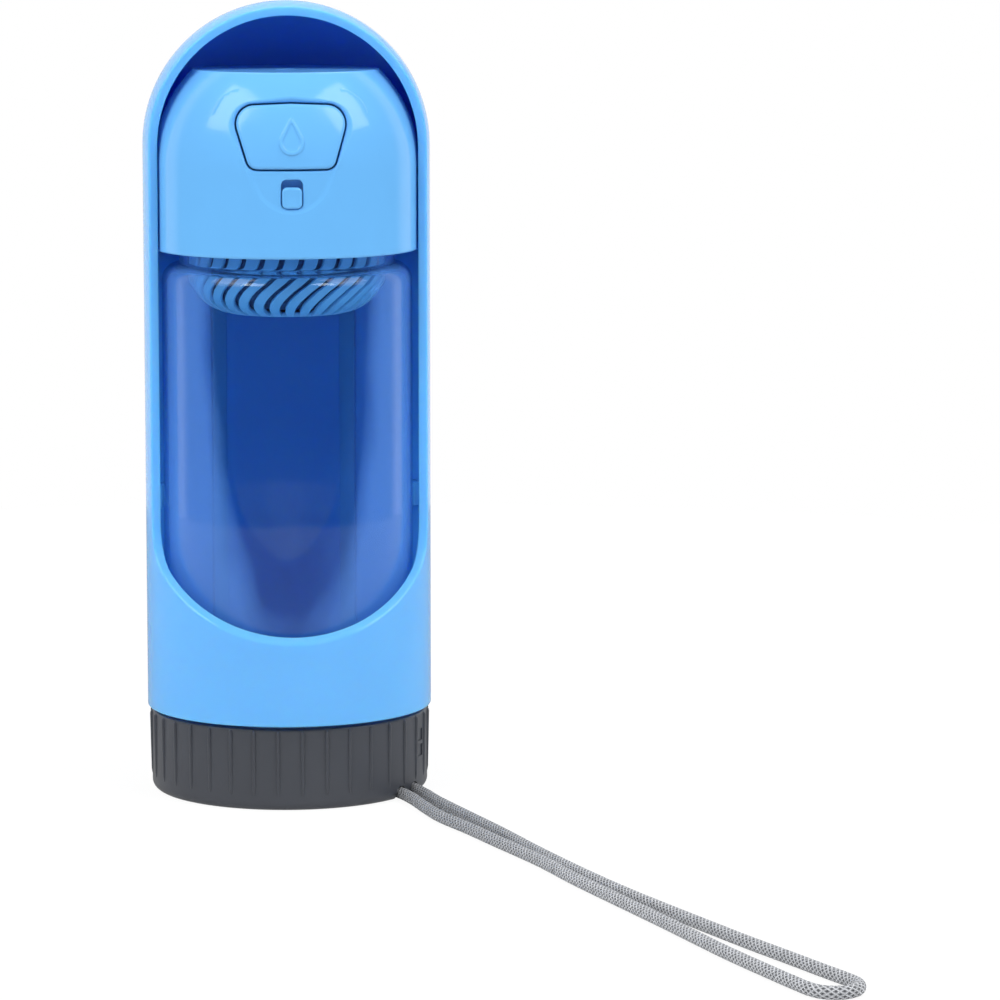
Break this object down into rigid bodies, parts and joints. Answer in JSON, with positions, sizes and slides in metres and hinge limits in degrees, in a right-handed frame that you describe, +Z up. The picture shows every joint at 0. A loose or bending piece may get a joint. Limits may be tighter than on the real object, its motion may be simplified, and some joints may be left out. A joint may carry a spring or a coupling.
{
  "type": "dog travel water bottle",
  "caption": "Upright clear bottle with a domed shell that slides up to form a drinking trough, a press-button valve head with a filter, a ribbed screw base and a wrist cord.",
  "frame": {"origin": "centre of the base cap's foot ring, on the floor the bottle stands on", "axes": "+Z up the bottle's axis; the front with the button faces -Y; +X is to the right seen from the front"},
  "size_m": [0.1472, 0.2761, 0.2004],
  "materials": {
    "blue": "glossy sky blue",
    "clear": "clear",
    "cap_grey": "satin dark grey",
    "cord_grey": "braided silver grey",
    "steel": "plain",
    "silicone": "translucent white silicone",
    "carbon": "black granular",
    "pad_white": "white foam",
    "white": "natural white",
    "black_rubber": "matt"
  },
  "bodies": {
    "base": {"base_cap": "cap_grey", "wrist_cord": "cord_grey", "cord_crimps": "steel"},
    "gasket": {"base_gasket": "silicone"},
    "bottle": {"bottle_body": "clear", "filter_basket": "blue", "filter_core": "carbon", "filter_pad": "pad_white", "basket_lid": "blue", "neck_gasket": "silicone", "neck_collar": "blue", "head_housing": "blue", "trough_seal": "silicone", "valve_block": "white", "stem_oring": "black_rubber", "rear_plug": "white", "spout_grommet": "blue", "return_spring": "steel", "lock_retainer": "white"},
    "button": {"button_cap": "blue", "valve_stem": "white", "valve_disc": "black_rubber"},
    "lock": {"lock_knob": "blue", "lock_plate": "blue"},
    "trough": {"trough_shell": "blue"}
  },
  "joints": [
    {"name": "unscrew_lift", "type": "slide", "parent": "base", "child": "gasket", "axis": [0, 0, 1], "range_m": [0, 0.006]},
    {"name": "unscrew_turn", "type": "hinge", "parent": "gasket", "child": "bottle", "pos_m": [0, 0, 0], "axis": [0, 0, 1], "range_deg": [0, 540]},
    {"name": "trough_slide", "type": "slide", "parent": "bottle", "child": "trough", "axis": [0, 0, 1], "range_m": [0, 0.06]},
    {"name": "button_press", "type": "slide", "parent": "bottle", "child": "button", "axis": [0, 1, 0], "range_m": [0, 0.003], "stiffness_N_per_m": 400, "springref_m": -0.002, "deforming": ["return_spring"]},
    {"name": "lock_slide", "type": "slide", "parent": "bottle", "child": "lock", "axis": [0, 0, 1], "range_m": [0, 0.0018]}
  ],
  "couplings": [
    {"joint": "unscrew_lift", "follows": "unscrew_turn", "m_per_rad": 0.0006366}
  ]
}
